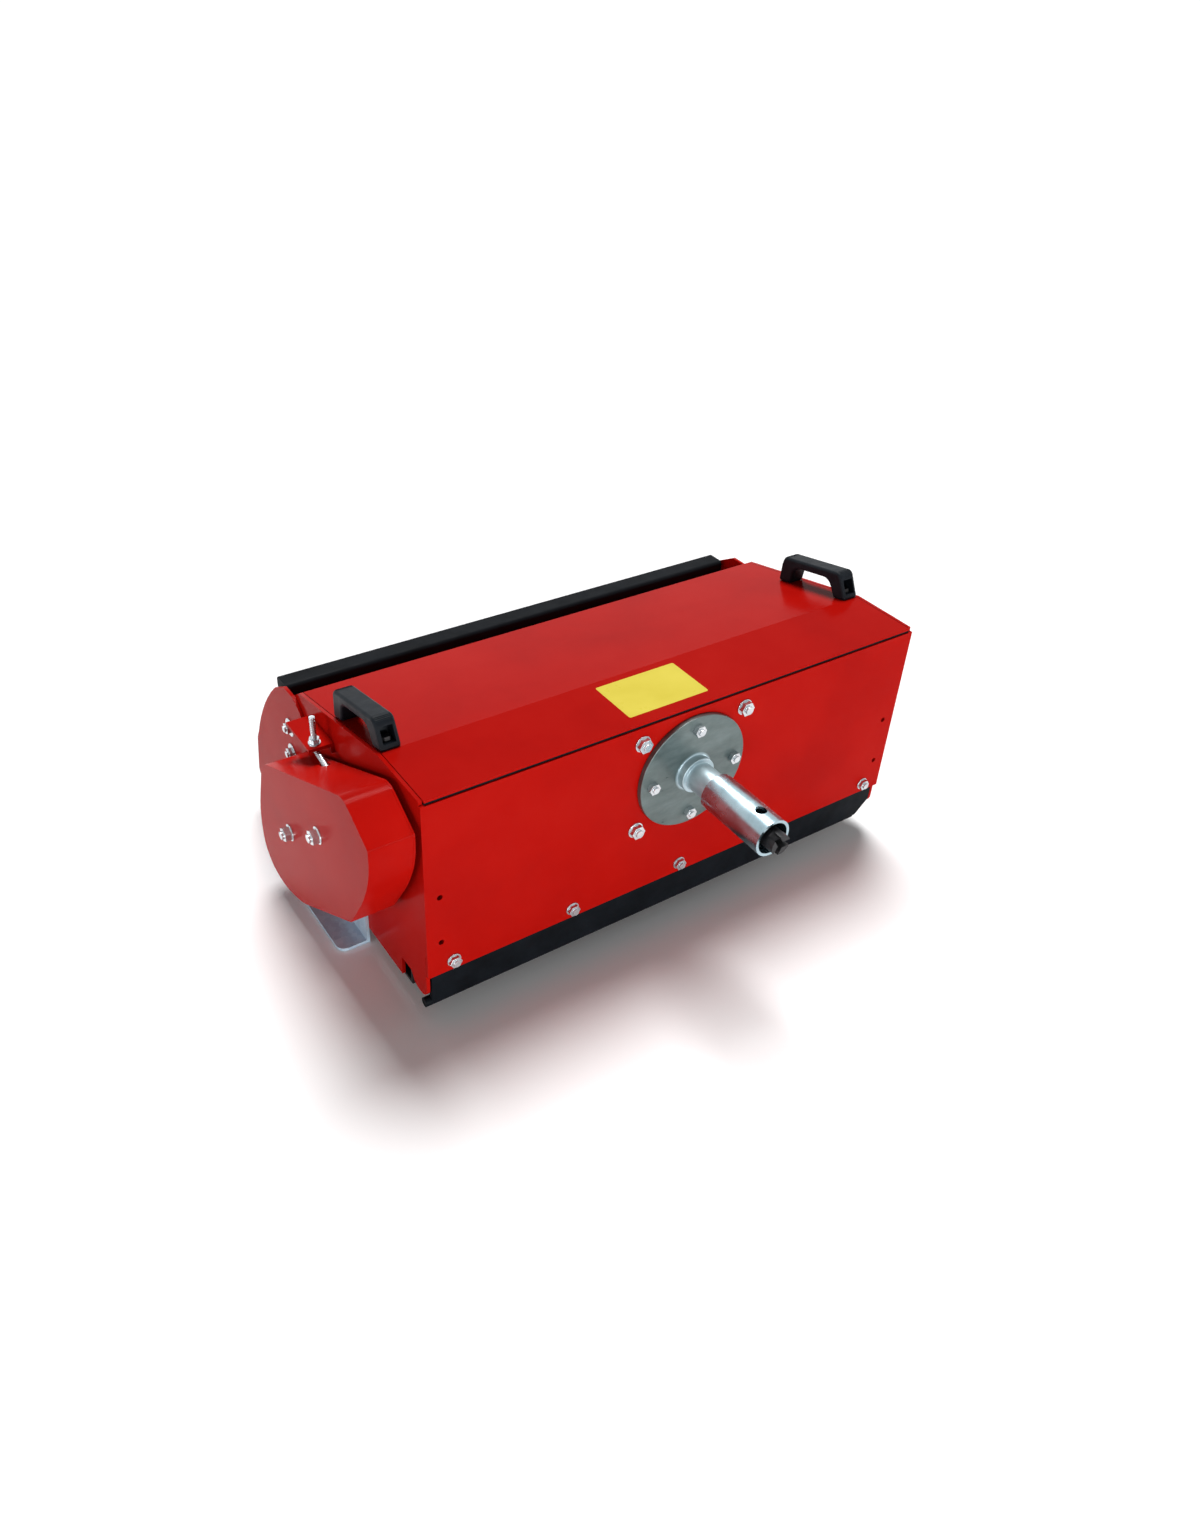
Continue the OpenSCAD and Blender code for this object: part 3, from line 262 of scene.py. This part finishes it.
# spangle of hot-dip zinc on the skids
spangleLook = {
    "cellScale": 120, "tones": [(0.0, (0.40, 0.54, 0.66)), (1.0, (0.52, 0.67, 0.78))], "rough": (0.28, 0.42),
    "dents": (90, 4), "dentRelief": (0.06, 0.4), "fixed": {"Metallic": 0.25},
}


def makeSpangle(look):
    material, tree, shader, coords = startMaterial("spangledZinc", look["fixed"])
    vector = mapped(tree, coords)
    cells = tree.nodes.new("ShaderNodeTexVoronoi")
    cells.inputs["Scale"].default_value = look["cellScale"]
    tree.links.new(vector, cells.inputs["Vector"])
    tint = tree.nodes.new("ShaderNodeSeparateColor")
    tree.links.new(cells.outputs["Color"], tint.inputs["Color"])
    setTones(tree, shader, tint.outputs["Red"], look["tones"])
    setGloss(tree, shader, tint.outputs["Green"], look["rough"])
    setRelief(tree, shader, noise(tree, vector, *look["dents"]), look["dentRelief"])
    return material


# rolled thread: bands along the tension rod, which stands on Z
threadLook = {
    "clouds": (60, 4), "tones": [(0.3, (0.40, 0.43, 0.46)), (0.7, (0.58, 0.61, 0.64))], "rough": (0.2, 0.32),
    "bandScale": 250, "bandLean": (0.05, 0, 0), "bandRelief": (0.5, 0.6), "fixed": {"Metallic": 1.0},
}


def makeThread(look):
    material, tree, shader, coords = startMaterial("zincThread", look["fixed"])
    clouds = noise(tree, mapped(tree, coords), *look["clouds"])
    setTones(tree, shader, clouds, look["tones"])
    setGloss(tree, shader, clouds, look["rough"])
    bands = tree.nodes.new("ShaderNodeTexWave")
    bands.bands_direction = "Z"
    bands.inputs["Scale"].default_value = look["bandScale"]
    tree.links.new(mapped(tree, coords, turn=look["bandLean"]), bands.inputs["Vector"])
    setRelief(tree, shader, bands.outputs["Fac"], look["bandRelief"])
    return material


# finishes that share one make-up: cloudy tones, worn gloss and a fine grain
blackPaintLook = {
    "clouds": (30, 5, 0.6), "tones": [(0.3, (0.008, 0.008, 0.009)), (0.7, (0.02, 0.02, 0.022))],
    "wear": (60, 4), "rough": (0.32, 0.5), "grain": (500, 3), "relief": (0.15, 0.2),
    "fixed": {"Specular IOR Level": 0.2},
}
boltLook = {
    "clouds": (26, 6, 0.62), "tones": [(0.3, (0.46, 0.49, 0.52)), (0.7, (0.74, 0.77, 0.79))],
    "wear": (160, 5, 0.7), "rough": (0.14, 0.26), "grain": (160, 5, 0.7), "relief": (0.08, 0.2),
    "fixed": {"Metallic": 0.9},
}
rubberLook = {
    "clouds": (22, 5, 0.65), "tones": [(0.3, (0.0030, 0.0038, 0.005)), (0.72, (0.007, 0.009, 0.012))],
    "wear": (45, 4), "rough": (0.42, 0.62), "grain": (380, 4, 0.6), "relief": (0.18, 0.3),
    "fixed": {"Specular IOR Level": 0.04},
}
plasticLook = {
    "clouds": (40, 4), "tones": [(0.3, (0.005, 0.0070, 0.010)), (0.7, (0.010, 0.0135, 0.018))],
    "wear": (70, 3), "rough": (0.36, 0.5), "grain": (900, 2), "relief": (0.22, 0.25),
    "fixed": {"Specular IOR Level": 0.08},
}
castIronLook = {
    "clouds": (30, 6, 0.65), "tones": [(0.3, (0.045, 0.048, 0.053)), (0.7, (0.10, 0.105, 0.11))],
    "wear": (120, 4), "rough": (0.45, 0.65), "grain": (260, 5, 0.7), "relief": (0.35, 0.6),
    "fixed": {"Metallic": 0.6},
}
forgedLook = {
    "clouds": (55, 6, 0.7),
    "tones": [(0.32, (0.035, 0.033, 0.033)), (0.6, (0.11, 0.11, 0.115)), (0.8, (0.24, 0.24, 0.25))],
    "wear": (55, 6, 0.7), "rough": (0.5, 0.32), "grain": (180, 5), "relief": (0.25, 0.5),
    "fixed": {"Metallic": 0.85},
}
filmLook = {
    "clouds": (18, 4), "tones": [(0.3, (0.68, 0.56, 0.060)), (0.7, (0.74, 0.62, 0.08))],
    "wear": (40, 3), "rough": (0.25, 0.36), "grain": (220, 3), "relief": (0.06, 0.2),
    "fixed": {"Specular IOR Level": 0.1},
}


def makeGrained(name, look):
    material, tree, shader, coords = startMaterial(name, look["fixed"])
    vector = mapped(tree, coords)
    setTones(tree, shader, noise(tree, vector, *look["clouds"]), look["tones"])
    setGloss(tree, shader, noise(tree, vector, *look["wear"]), look["rough"])
    setRelief(tree, shader, noise(tree, vector, *look["grain"]), look["relief"])
    return material


redPaint = makeRedPaint(redLook)
blackPaint = makeGrained("blackSatinPaint", blackPaintLook)
zincBolts = makeGrained("brightZincBolts", boltLook)
zincFlange = makeFlangeZinc(flangeLook)
turnedSteel = makeTurnedSteel(turnedLook)
spangle = makeSpangle(spangleLook)
rubber = makeGrained("blackRubber", rubberLook)
plastic = makeGrained("grainedBlackPlastic", plasticLook)
castIron = makeGrained("greyCastIron", castIronLook)
forgedSteel = makeGrained("forgedDarkSteel", forgedLook)
threadZinc = makeThread(threadLook)
yellowFilm = makeGrained("plainYellowFilm", filmLook)
print("finishes made")


# most nodes get a copy with rolled or broken edges in their place, the rest a finish alone

flatAngle = 0.4  # degrees, faces that meet at less are joined


def cleanCopy(node, pieceName):
    piece = bpy.data.objects.new(pieceName, frame["nodes"][node].data.copy())
    bpy.context.scene.collection.objects.link(piece)
    pick(piece)
    bpy.ops.mesh.customdata_custom_splitnormals_clear()
    editOn("VERT")
    bpy.ops.mesh.select_all(action="SELECT")
    bpy.ops.mesh.remove_doubles(threshold=near)
    bpy.ops.mesh.dissolve_limited(angle_limit=math.radians(flatAngle))
    editOff()
    return piece


# the cheeks' free edge bows out, and their top is rolled off by slanted cuts at places in Y and Z
cheekSpec = {
    "bow": 11.0, "cuts": 7,
    "rolls": (((524.0, 15.5), 150), ((540.0, 30.0), 120), ((562.0, 36.5), 90), ((592.0, 31.5), 60)),
}


def shapeCheek(piece):
    spec = cheekSpec
    points = piece.data.vertices
    pairs = [[points[i].co.copy() for i in edge.vertices] for edge in piece.data.edges]
    inPlane = [(a, b) for a, b in pairs if abs(a.x - b.x) < near]
    start, end = max(inPlane, key=lambda pair: (pair[1] - pair[0]).length)
    free = end - start
    along = free.normalized()
    out = Vector((0, abs(along.z), abs(along.y)))
    selectEdges(piece, lambda a, b: abs((b - a).length - free.length) < near)
    bpy.ops.mesh.subdivide(number_cuts=spec["cuts"])
    for step in range(1, spec["cuts"] + 1):
        share = step / (spec["cuts"] + 1)
        place = start + free * share
        selectPoints(piece, lambda co: math.hypot(co.y - place.y, co.z - place.z) < near)
        rise = 4 * share * (1 - share)  # none at the ends, one at the middle
        bpy.ops.transform.translate(value=out * spec["bow"] * mm * rise)
    for place, lean in spec["rolls"]:
        centre = Vector((0, *place)) * mm
        normal = (0, math.cos(math.radians(lean)), math.sin(math.radians(lean)))
        bpy.ops.mesh.select_all(action="SELECT")
        bpy.ops.mesh.bisect(plane_co=centre, plane_no=normal, use_fill=True, clear_outer=True)
    editOff()


flangeSpec = {"rim": 90.0, "drawIn": 0.935}  # radius beyond which the flange's rim is drawn in


def shapeFlange(piece):
    scale = flangeSpec["drawIn"]
    selectPoints(piece, lambda co: math.hypot(co.x, co.z) > flangeSpec["rim"] * mm)
    bpy.ops.transform.resize(value=(scale, 1, scale), center_override=(0, 0, 0))
    editOff()


shapers = {"cheek_left": shapeCheek, "cheek_right": shapeCheek, "coupling_flange": shapeFlange}
creases = {"lid": 8}  # the lid's shallow fold stays crisp


def softenedCopy(node, pieceName, width, steps, material, slotName):
    piece = cleanCopy(node, pieceName)
    if node in shapers:
        shapers[node](piece)
    roundEdges(piece, width * mm, steps)
    finishPiece(piece, nodeBody[node], material, creases.get(node, plainCrease))
    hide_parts(node)


redCoat = (redPaint, "red_paint")
blackCoat = (blackPaint, "black_paint")
rubberSkin = (rubber, "black_rubber")
brightZinc = (zincBolts, "zinc_plate")
rawIron = (castIron, "grey_iron")

# each row is a piece's name, the width of its rounded edges in mm, their steps, its finish and its slot
softened = {
    "coupling_panel": ("couplingPanel", 1.0, 3, *redCoat),
    "side_plate_left": ("sidePlateLeft", 0.8, 2, *redCoat),
    "side_plate_right": ("sidePlateRight", 0.8, 2, *redCoat),
    "cheek_left": ("cheekLeft", 0.9, 3, *redCoat),
    "cheek_right": ("cheekRight", 0.9, 3, *redCoat),
    "lid": ("lidSheet", 0.8, 3, *redCoat),
    "belt_case": ("beltCase", 1.4, 3, *redCoat),
    "case_back_plate": ("caseBackPlate", 0.5, 2, *redCoat),
    "tension_bracket": ("tensionBracket", 0.8, 2, *redCoat),
    "hinge_brackets": ("hingeBrackets", 0.6, 2, *redCoat),
    "front_cross_tube": ("frontCrossTube", 1.2, 3, *redCoat),
    "rotor_hood": ("rotorHood", 0.6, 2, *redCoat),
    "lower_cross_tube": ("lowerCrossTube", 1.2, 3, *blackCoat),
    "lid_bar": ("lidBar", 0.5, 2, *rubberSkin),
    # the lid seal is a black rubber strip, which also stands in for painted shade in the gap under the lid's
    # front edge
    "lid_seal": ("lidSeal", 0.5, 2, *rubberSkin),
    "rubber_skirt": ("rubberSkirt", 0.8, 3, *rubberSkin),
    "coupling_flange": ("couplingFlange", 1.0, 3, zincFlange, "zinc_plate"),
    "coupling_tube": ("couplingTube", 0.8, 3, turnedSteel, "bright_steel"),
    "pto_shaft": ("driveDog", 1.0, 3, *blackCoat),
    "flange_bolts": ("flangeStuds", 0.6, 2, *brightZinc),
    "gearbox_bolts": ("gearboxBolts", 0.6, 2, *brightZinc),
    "skirt_bolts": ("skirtBolts", 0.6, 2, *brightZinc),
    "cheek_bolts": ("cheekBolts", 0.6, 2, *brightZinc),
    "case_studs": ("caseStuds", 0.6, 2, *brightZinc),
    "skid_bolts": ("skidBolts", 0.6, 2, *brightZinc),
    "bearing_bolts": ("bearingBolts", 0.6, 2, *brightZinc),
    "handle_screws": ("handleScrews", 0.4, 2, *blackCoat),
    "tension_rod": ("tensionRod", 0.3, 2, threadZinc, "zinc_plate"),
    "skid_left": ("skidLeft", 0.9, 3, spangle, "galvanised"),
    "skid_right": ("skidRight", 0.9, 3, spangle, "galvanised"),
    "rotor_bearings": ("rotorBearings", 1.2, 3, *rawIron),
    "cross_bearing": ("crossBearing", 1.2, 3, *rawIron),
    "gearbox_housing": ("gearboxHousing", 2.0, 3, *rawIron),
    "gearbox_cover": ("gearboxCover", 1.6, 3, *rawIron),
    "rotor_tube": ("rotorTube", 0.8, 2, *blackCoat),
    "flail_pins": ("flailPins", 0.8, 2, *brightZinc),
    "hinge_pins": ("hingePins", 0.6, 2, *brightZinc),
}
flailCount = 10
for number in range(1, flailCount + 1):
    softened["flail_%02d" % number] = ("flailHammer%02d" % number, 1.2, 3, forgedSteel, "dark_steel")

for node, row in softened.items():
    softenedCopy(node, *row)
print("softened pieces:", len(softened))


# bridge handles: slimmer legs, and broad rolled edges along both flanks
handleSpec = {
    "flank": 4.2, "steps": 5, "facingDown": -0.9, "opening": (43.5, 28.5), "slimmer": 6.0,
    "nodes": {"handle_left": "handleLeft", "handle_right": "handleRight"},
}


def makeHandle(node, pieceName, spec):
    piece = cleanCopy(node, pieceName)
    points = piece.data.vertices
    flanks = (min(v.co.x for v in points), max(v.co.x for v in points))
    undersides = [f for f in piece.data.polygons if f.normal.z < spec["facingDown"]]
    down = max(undersides, key=lambda f: f.area).normal.copy()
    foot = max(down.dot(v.co) for v in points)

    along = Vector((1, 0, 0)).cross(down)
    spans = [along.dot(v.co) for v in points]
    middle = (min(spans) + max(spans)) / 2
    halfOpening, openingHeight = (c * mm for c in spec["opening"])
    for side in (-1, 1):
        selectPoints(piece, lambda co: 0 < side * (along.dot(co) - middle) < halfOpening
                     and foot - down.dot(co) < openingHeight)
        bpy.ops.transform.translate(value=along * side * spec["slimmer"] * mm)

    def onFlank(a, b):
        level = abs(a.x - b.x) < near and min(abs(a.x - flank) for flank in flanks) < near
        return level and min(down.dot(a), down.dot(b)) < foot - near

    selectEdges(piece, onFlank)
    bpy.ops.mesh.bevel(offset=spec["flank"] * mm, segments=spec["steps"], affect="EDGES")
    editOff()
    finishPiece(piece, nodeBody[node], plastic)
    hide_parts(node)


for node, pieceName in handleSpec["nodes"].items():
    makeHandle(node, pieceName, handleSpec)
print("handles rolled:", len(handleSpec["nodes"]))


# these inner nodes keep their own mesh
plainFinish = {
    "skirt_strip": zincFlange, "v_belts": rubber, "idler_arm": blackPaint,
    "bevel_gear": forgedSteel, "bevel_pinion": forgedSteel,
    "cross_shaft": turnedSteel, "gearbox_bearings": turnedSteel, "rotor_shafts": turnedSteel,
    "drive_pulley": castIron, "driven_pulley": castIron, "idler_pulley": castIron,
}
for node, material in plainFinish.items():
    mesh = frame["nodes"][node].data
    mesh.materials.clear()
    mesh.materials.append(material)
print("inner nodes finished:", len(plainFinish))


# plain yellow film on the flat front of the lid
filmSpec = {
    "x": (-94.5, 36.5), "y": (195.0, 276.0), "top": 104.0, "thick": 0.12, "corner": 3.0, "cornerSteps": 6,
}


def makeFilm(spec):
    size = (spec["x"][1] - spec["x"][0], spec["y"][1] - spec["y"][0], spec["thick"])
    middle = (sum(spec["x"]) / 2, sum(spec["y"]) / 2, spec["top"] + spec["thick"] / 2)
    deselectAll()
    bpy.ops.mesh.primitive_cube_add(size=1, location=[c * mm for c in middle], scale=[c * mm for c in size])
    piece = bpy.context.active_object
    piece.name = "yellowFilm"
    bpy.ops.object.transform_apply(location=True, rotation=True, scale=True)
    selectEdges(piece, lambda a, b: abs(a.x - b.x) < near and abs(a.y - b.y) < near)
    bpy.ops.mesh.bevel(offset=spec["corner"] * mm, segments=spec["cornerSteps"], affect="EDGES")
    editOff()
    finishPiece(piece, "lid", yellowFilm)


makeFilm(filmSpec)
print("film laid")


# flat washers under the nuts: each row is a centre, an axis and an outer radius
washerSpec = {
    "thick": 2.0, "hole": 6.0, "sides": 40, "lip": 0.5, "lipSteps": 2, "lipAngle": 50,
    "gearbox": [((86.6 * a, 173.0, 73.0 * b), "y", 12.2) for a in (-1, 1) for b in (-1, 1)],
    "skirt": [((186.0 * k, 173.0, -172.0), "y", 10.2) for k in (-2, -1, 0, 1, 2)],
    "cheek": [((416.0 * s, y, z), "x", 14.0) for s in (-1, 1) for y, z in ((574.0, -26.7), (576.0, -72.7))],
}
axisTurns = {"x": (0, math.pi / 2, 0), "y": (math.pi / 2, 0, 0)}


def makeWasher(place, axis, radius, spec):
    deselectAll()
    bpy.ops.mesh.primitive_cylinder_add(
        vertices=spec["sides"], radius=radius * mm, depth=spec["thick"] * mm,
        location=[c * mm for c in place], rotation=axisTurns[axis])
    piece = bpy.context.active_object
    selectFaces(piece, lambda face: len(face.vertices) == spec["sides"])  # its two ends
    bpy.ops.mesh.inset(thickness=(radius - spec["hole"]) * mm)
    bpy.ops.mesh.bridge_edge_loops()
    editOff()
    return piece


def makeWashers(pieceName, rows, spec):
    rings = [makeWasher(place, axis, radius, spec) for place, axis, radius in rows]
    deselectAll()
    for ring in rings:
        ring.select_set(True)
    bpy.context.view_layer.objects.active = rings[0]
    bpy.ops.object.join()
    piece = bpy.context.active_object
    piece.name = pieceName
    bpy.ops.object.transform_apply(location=True, rotation=True, scale=True)
    roundEdges(piece, spec["lip"] * mm, spec["lipSteps"], spec["lipAngle"])
    finishPiece(piece, "housing", zincBolts)


for group in ("gearbox", "skirt", "cheek"):
    makeWashers(group + "Washers", washerSpec[group], washerSpec)
print("washers set")


# floor, light and camera

# one where a ray comes from the camera, a mirror-like surface or clear matter
def seenRays(tree):
    path = tree.nodes.new("ShaderNodeLightPath")
    either = path.outputs["Is Camera Ray"]
    for kind in ("Is Glossy Ray", "Is Transmission Ray"):
        most = tree.nodes.new("ShaderNodeMath")
        most.operation = "MAXIMUM"
        tree.links.new(either, most.inputs[0])
        tree.links.new(path.outputs[kind], most.inputs[1])
        either = most.outputs[0]
    return either


# one grey for the light that falls on the object, another for what is seen
def splitGreys(tree, shadeKind, outputKind, spec):
    tree.nodes.clear()
    mix = tree.nodes.new("ShaderNodeMixShader")
    tree.links.new(seenRays(tree), mix.inputs["Fac"])
    for socket, part in ((1, "lit"), (2, "seen")):
        shade = tree.nodes.new(shadeKind)
        shade.inputs["Color"].default_value = (spec[part], spec[part], spec[part], 1)
        tree.links.new(shade.outputs[0], mix.inputs[socket])
    output = tree.nodes.new(outputKind)
    tree.links.new(mix.outputs[0], output.inputs["Surface"])


stageSpec = {"floor": -278.0, "gap": 0.5, "middle": 300.0, "half": 40000.0, "lit": 0.6, "seen": 0.98}


def makeStage(spec):
    deselectAll()
    place = (0, spec["middle"] * mm, (spec["floor"] - spec["gap"]) * mm)
    bpy.ops.mesh.primitive_plane_add(size=2 * spec["half"] * mm, location=place)
    floor = bpy.context.active_object
    floor.name = "studioFloor"
    material = bpy.data.materials.new("paleFloor")
    material.use_nodes = True
    splitGreys(material.node_tree, "ShaderNodeBsdfDiffuse", "ShaderNodeOutputMaterial", spec)
    floor.data.materials.append(material)


worldSpec = {"lit": 0.12, "seen": 1.0}


def makeWorld(spec):
    world = bpy.data.worlds.new("studio")
    bpy.context.scene.world = world
    world.use_nodes = True
    splitGreys(world.node_tree, "ShaderNodeBackground", "ShaderNodeOutputWorld", spec)


lampSpec = {
    "softSun": {"kind": "SUN", "place": (0.5, 1.35, 2.6), "aim": (0, 0.35, 0), "spread": 28, "power": 3.4},
    "leftWall": {"kind": "AREA", "place": (-3.4, 0.3, 0.1), "aim": (-0.4, 0.35, -0.1),
                 "size": (1.8, 0.5), "power": 28},
    "rightWall": {"kind": "AREA", "place": (3.4, 0.4, 0.1), "aim": (0.4, 0.35, -0.1),
                  "size": (1.8, 0.5), "power": 40},
    "frontFill": {"kind": "AREA", "place": (-0.3, -3.4, 0.0), "aim": (0, 0.2, -0.1),
                  "size": (3.0, 0.5), "power": 108},
}


def makeLamp(name, spec):
    data = bpy.data.lights.new(name, spec["kind"])
    if spec["kind"] == "SUN":
        data.angle = math.radians(spec["spread"])
    else:
        data.shape = "RECTANGLE"
        data.size, data.size_y = spec["size"]
    data.energy = spec["power"]
    lamp = bpy.data.objects.new(name, data)
    bpy.context.scene.collection.objects.link(lamp)
    lamp.location = spec["place"]
    aim = Vector(spec["aim"]) - Vector(spec["place"])
    lamp.rotation_euler = aim.to_track_quat("-Z", "Y").to_euler()


cameraSpec = {
    "place": (-0.8888, -0.8165, 0.9814), "right": (0.82401, -0.56427, 0.05107),
    "forward": (0.47957, 0.64664, -0.59318), "lens": 28.375, "sensor": 36, "reach": 60,
}


def makeCamera(spec):
    data = bpy.data.cameras.new("photoCamera")
    data.lens = spec["lens"]
    data.sensor_width = spec["sensor"]
    data.clip_end = spec["reach"]
    camera = bpy.data.objects.new("photoCamera", data)
    bpy.context.scene.collection.objects.link(camera)
    back = -Vector(spec["forward"]).normalized()
    right = Vector(spec["right"])
    right = (right - back * right.dot(back)).normalized()
    up = back.cross(right)
    turn = Matrix((right, up, back)).transposed().to_4x4()
    camera.matrix_world = Matrix.Translation(spec["place"]) @ turn
    bpy.context.scene.camera = camera


makeStage(stageSpec)
makeWorld(worldSpec)
for lampName, spec in lampSpec.items():
    makeLamp(lampName, spec)
makeCamera(cameraSpec)
bpy.context.scene.view_settings.view_transform = "Standard"
print("stage, light and camera set")
